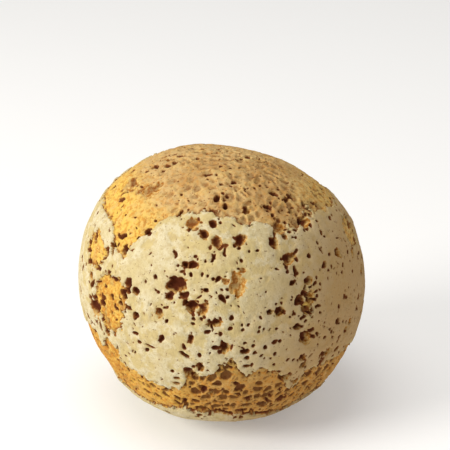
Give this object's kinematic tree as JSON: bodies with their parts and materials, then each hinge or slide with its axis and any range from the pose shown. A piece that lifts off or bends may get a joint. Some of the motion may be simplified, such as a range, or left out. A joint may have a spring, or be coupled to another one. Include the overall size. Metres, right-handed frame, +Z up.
{
  "type": "aged cheese ball",
  "caption": "Whole ball of long-aged mimolette with full shoulders, a thick pale pitted crust flaked away in ragged patches to bare golden cheese, standing on a small flat base",
  "frame": {"origin": "middle of the flat base the ball stands on, under the middle of its bounding box", "axes": "+Z up, the shown side faces -Y, +X to the right as seen from the shown side"},
  "size_m": [0.1798, 0.1775, 0.166],
  "materials": {
    "aged_crust": "dry, matt, pitted crust"
  },
  "bodies": {
    "root": {"cheese": "aged_crust"}
  },
  "joints": []
}
